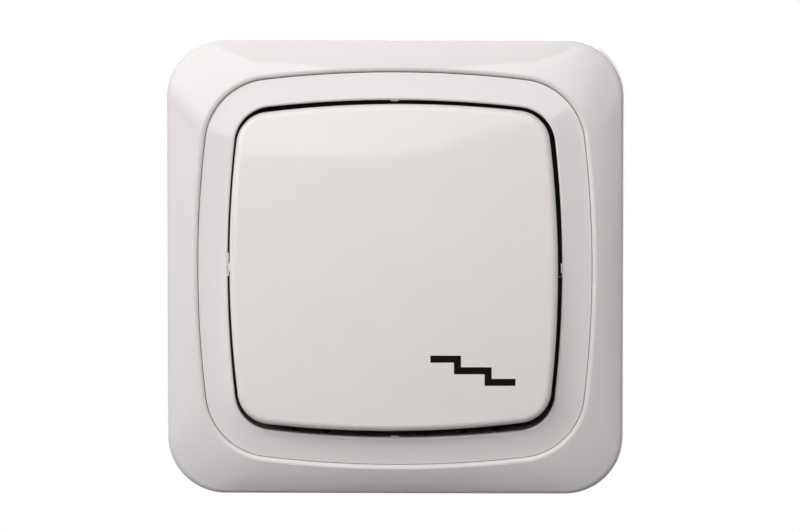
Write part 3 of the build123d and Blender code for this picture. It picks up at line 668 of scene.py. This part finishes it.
class SWITCH_OT_thread_screws(bpy.types.Operator):
    """Make the terminal, claw and housing screws with their threads and driver slots"""

    bl_idname = "switch.thread_screws"
    bl_label = "Thread the screws"

    def execute(self, context):
        threads = settings("screws")
        look = settings("finishes")
        bright = shaded(tuple(look.steel), 0.9)
        steel = plated_steel("screw_steel", bright, look.metal_roughness, grain_stretch=(0.08, 1.0, 1.0))
        for terminal in terminals:
            self.terminal_screw(terminal + "_terminal_screw", steel, threads)
        for side in claw_sides:
            self.claw_screw(side + "_claw_screw", steel, threads)
        self.housing_screws("housing_screws", steel, threads)
        return {"FINISHED"}

    def terminal_screw(self, node, steel, threads):
        """Upright screw of a terminal, with its head at the housing's nearer end."""
        low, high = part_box(node)
        middle = (low + high) / 2
        out = 1 if middle.z > 0 else -1
        tip = Vector((middle.x, middle.y, low.z if out > 0 else high.z))
        shank, head_height = terminal_screw_size
        screw = screw_shape(node + "_threaded", high.z - low.z, shank, high.x - low.x, head_height, threads)
        seat_screw(screw, tip, (0, 0, out), turned=pi / 2)
        self.stand_in(screw, steel, node, node)

    def claw_screw(self, node, steel, threads):
        """Level screw of a claw, with its head at the front of the support plate."""
        low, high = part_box(node)
        middle = (low + high) / 2
        tip = Vector((middle.x, high.y, middle.z))
        shank, head_height = claw_screw_size
        screw = screw_shape(node + "_threaded", high.y - low.y, shank, high.x - low.x, head_height, threads)
        seat_screw(screw, tip, (0, -1, 0))
        self.stand_in(screw, steel, node, node)

    def housing_screws(self, node, steel, threads):
        """The two screws of the housing, in one object as in the frame."""
        low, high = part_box(node)
        head = high.z - low.z
        shank, head_height = housing_screw_size
        both = bmesh.new()
        for place in (low.x + head / 2, high.x - head / 2):
            screw = screw_shape("housing_screw", high.y - low.y, shank, head, head_height, threads)
            seat_screw(screw, Vector((place, high.y, 0)), (0, -1, 0))
            both.from_mesh(screw.data)
            bpy.data.objects.remove(screw)
        self.stand_in(linked_object(node + "_threaded", both), steel, node, "base")

    @staticmethod
    def stand_in(piece, material, node, body):
        """Lets a threaded screw stand for its plain CAD node."""
        paint([piece], material)
        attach(piece, body)
        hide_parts(node)


# Spring

class SWITCH_OT_wind_spring(bpy.types.Operator):
    """Wind the spring that the plunger presses together, with closed ends"""

    bl_idname = "switch.wind_spring"
    bl_label = "Wind the plunger spring"

    def execute(self, context):
        spring = settings("spring")
        # The barrel opens to the rear, so the plunger goes into it towards the key
        pivot, right, up, inward = rocker_plane()
        node = frame["nodes"]["tumbler_spring"]
        reach = [(corner.co - pivot).dot(inward) for corner in node.data.vertices]
        foot, seat = min(reach), max(reach)
        low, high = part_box("tumbler_spring")
        radius = (high.x - low.x - spring.wire) / 2
        open_rise = seat - foot - spring.wire * (1 + 2 * spring.closed)
        all_turns = spring.turns + 2 * spring.closed
        steps = round(all_turns * steps_per_turn)
        angles = [2 * pi * side / wire_sides for side in range(wire_sides)]
        wire = bmesh.new()
        rings = []
        for step in range(steps + 1):
            turn = all_turns * step / steps
            opened = min(spring.turns, max(0.0, turn - spring.closed))
            height = foot + spring.wire * (0.5 + turn - opened) + open_rise * opened / spring.turns
            outwards = right * cos(2 * pi * turn) + up * sin(2 * pi * turn)
            middle = pivot + inward * height + outwards * radius
            rings.append([
                wire.verts.new(middle + (outwards * cos(angle) + inward * sin(angle)) * spring.wire / 2)
                for angle in angles
            ])
        join_rings(wire, rings)
        piece = linked_object("wound_spring", wire)
        bright = shaded(tuple(settings("finishes").steel), 0.8)
        paint([piece], spring_wire("spring_wire", bright))
        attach(piece, "rocker")
        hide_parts("tumbler_spring")
        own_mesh(piece)
        return {"FINISHED"}


# Studio

def towards(turn, rise):
    """Direction seen from the switch: turn to the right of the front, rise above the horizon."""
    return Vector((sin(turn) * cos(rise), -cos(turn) * cos(rise), sin(rise)))


def smooth_step(value, start, end):
    """Nought before start, one after end, and an even curve between."""
    share = min(1.0, max(0.0, (value - start) / (end - start)))
    return share * share * (3 - 2 * share)


def between(marks, turn):
    """Value at this turn, led smoothly through marks of (turn, value)."""
    value = marks[0][1]
    for (start, _), (end, target) in zip(marks, marks[1:]):
        if turn > start:
            value += (target - value) * smooth_step(turn, start, end)
    return value


def softbox_cloth(name, brightness):
    """Cloth of a softbox, which glows by its full brightness times the mesh's own share."""
    glow = Finish(name + "_glow", roughness=1.0)
    glow.shader.inputs["Base Color"].default_value = (0.0, 0.0, 0.0, 1.0)
    glow.shader.inputs["Emission Color"].default_value = (0.995, 0.993, 0.994, 1.0)
    share = glow.node("ShaderNodeAttribute")
    share.attribute_name = "glow"
    strength = glow.node("ShaderNodeMath")
    strength.operation = "MULTIPLY"
    strength.inputs[1].default_value = brightness
    glow.link(share.outputs["Fac"], strength.inputs[0])
    glow.link(strength.outputs["Value"], glow.shader.inputs["Emission Strength"])
    return glow.material


def softbox_panel(name, turns, top, brightness, lower_edge, soft_edge=((0.0, 0.0),), shares=((0.0, 1.0),)):
    """Glowing panel round the switch, between two turns and up to the rise of its top.

    The rise of its lower edge, the softness of that edge and the share of its full glow are marks of
    (turn, value). Turns and rises are in degrees, as seen from the switch.
    """
    left, right = turns
    sheet = bmesh.new()
    grid = []
    glow = []
    for column in range(panel_columns + 1):
        turn = left + (right - left) * column / panel_columns
        low = between(lower_edge, turn)
        soft = between(soft_edge, turn)
        full = between(shares, turn)
        grid.append([])
        for row in range(panel_rows + 1):
            rise = low + (top - low) * row / panel_rows
            grid[-1].append(sheet.verts.new(towards(radians(turn), radians(rise)) * panel_distance))
            glow.append(full * smooth_step(rise, low - sharp_edge, low + soft))
    for first, second in zip(grid, grid[1:]):
        for row in range(panel_rows):
            sheet.faces.new((first[row], second[row], second[row + 1], first[row + 1]))
    panel = linked_object(name, sheet)
    panel.data.attributes.new("glow", "FLOAT", "POINT").data.foreach_set("value", glow)
    panel.data.materials.append(softbox_cloth(name, brightness))
    panel.visible_camera = False


def seen_directly(tree):
    """One for the rays that show the backdrop: those of the camera, of gloss and through glass."""
    rays = tree.nodes.new("ShaderNodeLightPath")
    seen = rays.outputs["Is Camera Ray"]
    for kind in ("Is Glossy Ray", "Is Transmission Ray"):
        either = tree.nodes.new("ShaderNodeMath")
        either.operation = "MAXIMUM"
        tree.links.new(seen, either.inputs[0])
        tree.links.new(rays.outputs[kind], either.inputs[1])
        seen = either.outputs["Value"]
    return seen


def lit_or_white(tree, lit, white, surface):
    """Leads the lit shader to the surface, and the white one for the rays that show the backdrop."""
    pick = tree.nodes.new("ShaderNodeMixShader")
    tree.links.new(seen_directly(tree), pick.inputs[0])
    tree.links.new(lit, pick.inputs[1])
    tree.links.new(white, pick.inputs[2])
    tree.links.new(pick.outputs["Shader"], surface)


def white_surroundings(ceiling):
    """World that is white to the camera, to gloss and through glass, and lights softly from above.

    The soft light grows from the horizon up to its full strength at a rise of 30 degrees.
    """
    world = bpy.data.worlds.new("surroundings")
    world.use_nodes = True
    tree = world.node_tree
    bright = tree.nodes["Background"]
    bright.inputs["Color"].default_value = (1.0, 1.0, 1.0, 1.0)
    place = tree.nodes.new("ShaderNodeTexCoord")
    axes = tree.nodes.new("ShaderNodeSeparateXYZ")
    fade = tree.nodes.new("ShaderNodeMapRange")
    fade.interpolation_type = "SMOOTHSTEP"
    fade.inputs["From Min"].default_value = 0.0
    fade.inputs["From Max"].default_value = 0.5
    fade.inputs["To Max"].default_value = ceiling
    dome = tree.nodes.new("ShaderNodeBackground")
    dome.inputs["Color"].default_value = (1.0, 0.97, 0.955, 1.0)
    tree.links.new(place.outputs["Generated"], axes.inputs["Vector"])
    tree.links.new(axes.outputs["Z"], fade.inputs["Value"])
    tree.links.new(fade.outputs["Result"], dome.inputs["Strength"])
    surface = tree.nodes["World Output"].inputs["Surface"]
    lit_or_white(tree, dome.outputs["Background"], bright.outputs["Background"], surface)
    bpy.context.scene.world = world


def stage_sheet(name, corners, material):
    """Flat sheet of the studio through these corners."""
    mesh = bpy.data.meshes.new(name)
    mesh.from_pydata(corners, [], [(0, 1, 2, 3)])
    mesh.materials.append(material)
    sheet = bpy.data.objects.new(name, mesh)
    bpy.context.scene.collection.objects.link(sheet)
    return sheet


def painted_shade_flag(camera, target):
    """Black sheet far behind the switch and hidden by it, painted shade that only the camera sees.

    No backdrop shines through the key's gap, where a box-screw slot of the plate lies behind it.
    """
    behind = 3.0
    covered = 0.9
    width_to_height = 4
    sight = (target - camera.location).normalized()
    level = sight.cross(Vector((0, 0, 1))).normalized()
    upright = level.cross(sight)
    distance = (camera.location - target).length
    low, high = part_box("cover_frame")
    half_width = covered * (high.x - low.x) / 2 * (distance + behind) / distance
    half_height = half_width / width_to_height
    middle = target + sight * behind
    corners = [
        middle + level * half_width * side + upright * half_height * top
        for side, top in ((-1, -1), (1, -1), (1, 1), (-1, 1))
    ]
    # Near-black sheet that only the camera sees: painted shade in the key's gap
    shade_sheet = Finish("painted_shade_cloth", roughness=0.95)
    shade_sheet.shader.inputs["Base Color"].default_value = (0.012, 0.011, 0.011, 1.0)
    shade_sheet.shader.inputs["Specular IOR Level"].default_value = 0.1
    flag = stage_sheet("painted_shade_flag", corners, shade_sheet.material)
    flag.visible_glossy = False
    flag.visible_diffuse = False
    flag.visible_shadow = False


def pale_floor(below, width):
    """Pale floor under the switch, white to the camera and in gloss as the surroundings are."""
    half = width / 2
    corners = [(half * right, half * back, -below) for right, back in ((-1, -1), (1, -1), (1, 1), (-1, 1))]
    coat = Finish("floor_paint", roughness=0.8)
    speckle = coat.noise(size=6 * MM, detail=3.0)
    coat.colour(coat.colours(speckle, (0.74, 0.73, 0.72), (0.78, 0.77, 0.76)))
    white = coat.node("ShaderNodeEmission")
    surface = coat.tree.nodes["Material Output"].inputs["Surface"]
    lit_or_white(coat.tree, coat.shader.outputs["BSDF"], white.outputs["Emission"], surface)
    stage_sheet("floor", corners, coat.material)


class SWITCH_OT_set_studio(bpy.types.Operator):
    """Set up the camera, the softboxes, the floor, the black flag of painted shade and the white
    surroundings
    """

    bl_idname = "switch.set_studio"
    bl_label = "Set up the studio"

    def execute(self, context):
        studio = settings("studio")
        self.softboxes(studio)
        white_surroundings(studio.ceiling)
        pale_floor(studio.floor_below, studio.floor_width)
        camera = bpy.data.objects.new("camera", bpy.data.cameras.new("camera"))
        context.scene.collection.objects.link(camera)
        camera.data.sensor_width = 36.0
        camera.data.lens = studio.lens
        camera.data.clip_start = 0.01
        back = towards(studio.turn, studio.height)
        aim_depth = -5 * MM
        target = Vector((studio.aim_right, aim_depth, studio.aim_up))
        camera.location = target + back * studio.distance
        camera.rotation_euler = back.to_track_quat("Z", "Y").to_euler()
        context.scene.camera = camera
        # Painted shade behind the key's gap
        painted_shade_flag(camera, target)
        context.scene.view_settings.view_transform = "Standard"
        return {"FINISHED"}

    def softboxes(self, studio):
        """A large softbox over the front, one that goes on from it at the left, and one at the rear."""
        seam = -66.0
        # Its lower edge is cut so that its mirror image ends at the creases of the ring and the key
        softbox_panel(
            "softbox",
            turns=(seam, 40.0),
            top=43.0,
            brightness=studio.softbox,
            lower_edge=((-20.0, 1.5), (-10.0, 9.5), (-2.0, 9.5), (8.0, 11.4), (16.0, 8.2)),
            soft_edge=((-40.0, 14.0), (-25.0, 0.0)),
            shares=((seam, studio.side_box / studio.softbox), (-46.0, 1.0), (16.0, 1.0), (40.0, 0.0)),
        )
        softbox_panel(
            "side_box",
            turns=(-90.0, seam),
            top=55.0,
            brightness=studio.side_box,
            lower_edge=((seam, 1.5),),
            soft_edge=((seam, 14.0),),
        )
        softbox_panel(
            "rear_box",
            turns=(155.0, 205.0),
            top=45.0,
            brightness=studio.rear_box,
            lower_edge=((155.0, 8.0),),
        )


# Panel and registration

class SWITCH_PT_sidebar(bpy.types.Panel):
    """Steps that dress the switch"""

    bl_label = "Rocker switch"
    bl_idname = "SWITCH_PT_sidebar"
    bl_space_type = "VIEW_3D"
    bl_region_type = "UI"
    bl_category = "Switch"

    def draw(self, context):
        for group, operators in steps:
            box = self.layout.box()
            for operator in operators:
                box.operator(operator.bl_idname)
            values = settings(group)
            for name in values.bl_rna.properties.keys():
                if name not in ("rna_type", "name"):
                    box.prop(values, name)


property_groups = {
    "finishes": SWITCH_PG_finishes,
    "symbol": SWITCH_PG_symbol,
    "screws": SWITCH_PG_screws,
    "spring": SWITCH_PG_spring,
    "studio": SWITCH_PG_studio,
}
steps = (
    ("finishes", (SWITCH_OT_finish_cover, SWITCH_OT_finish_mechanism, SWITCH_OT_finish_metal)),
    ("symbol", (SWITCH_OT_print_symbol,)),
    ("screws", (SWITCH_OT_thread_screws,)),
    ("spring", (SWITCH_OT_wind_spring,)),
    ("studio", (SWITCH_OT_set_studio,)),
)
all_operators = [operator for _, operators in steps for operator in operators]


def register():
    """Registers the property groups, the operators and the panel."""
    for name, group in property_groups.items():
        bpy.utils.register_class(group)
        setattr(bpy.types.Scene, "switch_" + name, bpy.props.PointerProperty(type=group))
    for operator in all_operators:
        bpy.utils.register_class(operator)
    bpy.utils.register_class(SWITCH_PT_sidebar)


def unregister():
    """Takes the panel, the operators and the property groups out again."""
    bpy.utils.unregister_class(SWITCH_PT_sidebar)
    for operator in reversed(all_operators):
        bpy.utils.unregister_class(operator)
    for name, group in property_groups.items():
        delattr(bpy.types.Scene, "switch_" + name)
        bpy.utils.unregister_class(group)


def main():
    """Dresses the switch step by step."""
    register()
    for operator in all_operators:
        area, step = operator.bl_idname.split(".")
        getattr(getattr(bpy.ops, area), step)()


if __name__ == "__main__":
    main()
